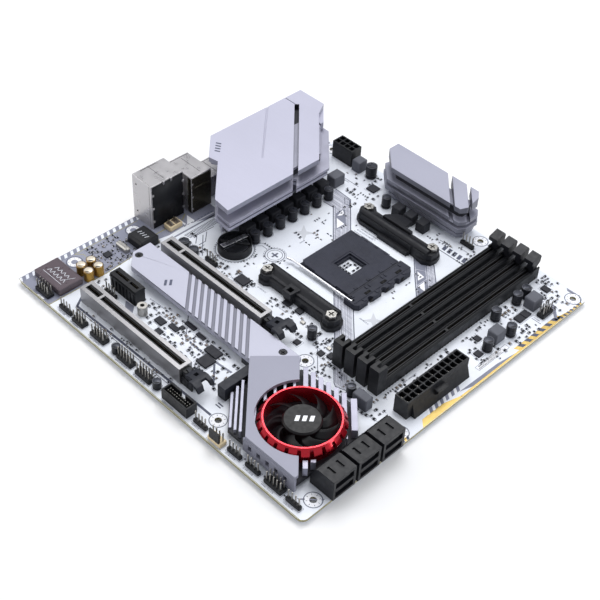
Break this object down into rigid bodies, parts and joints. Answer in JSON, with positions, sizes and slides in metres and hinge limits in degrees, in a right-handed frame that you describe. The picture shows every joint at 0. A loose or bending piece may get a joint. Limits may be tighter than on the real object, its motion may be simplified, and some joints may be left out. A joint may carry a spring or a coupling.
{
  "type": "motherboard",
  "caption": "Square desktop computer mainboard with stepped silver heatsinks, a processor socket with lever, memory and expansion slots, rear ports and a small chipset fan.",
  "frame": {"origin": "Under the middle of the circuit board, on the plane the part rests on (lowest solder tails and cooler backplate).", "axes": "+X from the rear port edge to the edge with the drive ports; +Y from the edge with the pin headers to the edge with the processor power connector; +Z out of the component side."},
  "size_m": [0.2458, 0.2438, 0.0386],
  "materials": {
    "board": "white solder mask over glass-epoxy laminate",
    "dark_steel": "black coated steel sheet",
    "solder": "tinned solder joints",
    "socket_plastic": "slate moulded plastic",
    "spring_wire": "plated spring wire",
    "black_plastic": "black glass-filled moulding",
    "dark_plastic": "dark grey moulding",
    "gloss_black": "polished black moulding",
    "bright_steel": "bright stamped steel",
    "screw_steel": "zinc-plated steel",
    "brass_plated": "turned brass",
    "silver_aluminium": "bead-blasted silver aluminium",
    "chip_black": "moulded package",
    "red_ring": "red anodised ring",
    "thermal_pad": "soft grey gap filler",
    "capacitor_can": "dark coated capacitor can",
    "gold_can": "gold coated capacitor can",
    "ferrite": "pressed powder body",
    "pin_metal": "gold-flashed square pin",
    "port_metal": "nickel-plated shell",
    "shield_silver": "coated shield can"
  },
  "bodies": {
    "board": {"atx_power_connector": "black_plastic", "audio_capacitors": "gold_can", "audio_jack_stack": "port_metal", "audio_shield": "shield_silver", "battery_clip": "bright_steel", "battery_holder": "black_plastic", "chipset_cover": "silver_aluminium", "chipset_heatsink": "silver_aluminium", "chipset_package": "chip_black", "coin_cell": "bright_steel", "connector_pins": "pin_metal", "cooler_bracket_lower": "black_plastic", "cooler_bracket_screws": "screw_steel", "cooler_bracket_upper": "black_plastic", "cpu_backplate": "dark_steel", "cpu_socket_base": "socket_plastic", "crystals": "port_metal", "dimm_slot_1": "black_plastic", "dimm_slot_2": "black_plastic", "dimm_slot_3": "black_plastic", "dimm_slot_4": "black_plastic", "display_port_stack": "port_metal", "eps_power_connector": "black_plastic", "fan_motor_base": "dark_plastic", "fan_ring": "red_ring", "integrated_circuits": "chip_black", "keyboard_port": "black_plastic", "lan_usb_stack": "port_metal", "m2_connectors": "dark_plastic", "m2_heatsink_cover": "silver_aluminium", "m2_screws": "screw_steel", "m2_standoffs": "brass_plated", "network_module": "black_plastic", "pcb": "board", "pcie_x16_shield_lower": "bright_steel", "pcie_x16_shield_upper": "bright_steel", "pcie_x16_slot_lower": "black_plastic", "pcie_x16_slot_upper": "black_plastic", "pcie_x1_slot": "black_plastic", "pin_header_bases": "black_plastic", "polymer_capacitors": "capacitor_can", "power_inductors": "ferrite", "sata_ports": "black_plastic", "solder_tails": "solder", "usb_header": "black_plastic", "usb_port_stacks": "port_metal", "vrm_cover_left": "silver_aluminium", "vrm_heatsink_left": "silver_aluminium", "vrm_heatsink_top": "silver_aluminium", "vrm_mosfets": "chip_black", "vrm_thermal_pads": "thermal_pad"},
    "fan_rotor": {"fan_rotor": "gloss_black"},
    "socket_lever": {"cpu_socket_lever": "spring_wire"},
    "socket_cover": {"cpu_socket_cover": "socket_plastic"},
    "dimm_latch_1": {"dimm_latch_1": "dark_plastic"},
    "dimm_latch_2": {"dimm_latch_2": "dark_plastic"},
    "dimm_latch_3": {"dimm_latch_3": "dark_plastic"},
    "dimm_latch_4": {"dimm_latch_4": "dark_plastic"},
    "pcie_latch_upper": {"pcie_x16_latch_upper": "black_plastic"},
    "pcie_latch_lower": {"pcie_x16_latch_lower": "black_plastic"}
  },
  "joints": [
    {"name": "fan_spin", "type": "hinge", "parent": "board", "child": "fan_rotor", "pos_m": [0.08148, -0.08272, 0.0116], "axis": [0, 0, 1], "continuous": true},
    {"name": "socket_lever_lift", "type": "hinge", "parent": "board", "child": "socket_lever", "pos_m": [0.02828, 0.02008, 0.0063], "axis": [0, 1, 0], "range_deg": [0, 95]},
    {"name": "socket_cover_shift", "type": "slide", "parent": "board", "child": "socket_cover", "axis": [-1, 0, 0], "range_m": [0, 0.001]},
    {"name": "dimm_latch_1_tilt", "type": "hinge", "parent": "board", "child": "dimm_latch_1", "pos_m": [0.05798, 0.11128, 0.006], "axis": [-1, 0, 0], "range_deg": [0, 33]},
    {"name": "dimm_latch_2_tilt", "type": "hinge", "parent": "board", "child": "dimm_latch_2", "pos_m": [0.06718, 0.11128, 0.006], "axis": [-1, 0, 0], "range_deg": [0, 33]},
    {"name": "dimm_latch_3_tilt", "type": "hinge", "parent": "board", "child": "dimm_latch_3", "pos_m": [0.07638, 0.11128, 0.006], "axis": [-1, 0, 0], "range_deg": [0, 33]},
    {"name": "dimm_latch_4_tilt", "type": "hinge", "parent": "board", "child": "dimm_latch_4", "pos_m": [0.08558, 0.11128, 0.006], "axis": [-1, 0, 0], "range_deg": [0, 33]},
    {"name": "pcie_latch_upper_tilt", "type": "hinge", "parent": "board", "child": "pcie_latch_upper", "pos_m": [0.01538, -0.04032, 0.0062], "axis": [0, 1, 0], "range_deg": [0, 18]},
    {"name": "pcie_latch_lower_tilt", "type": "hinge", "parent": "board", "child": "pcie_latch_lower", "pos_m": [0.01538, -0.10132, 0.0062], "axis": [0, 1, 0], "range_deg": [0, 18]}
  ],
  "couplings": [
    {"joint": "socket_cover_shift", "follows": "socket_lever_lift", "m_per_rad": 0.00060311}
  ]
}
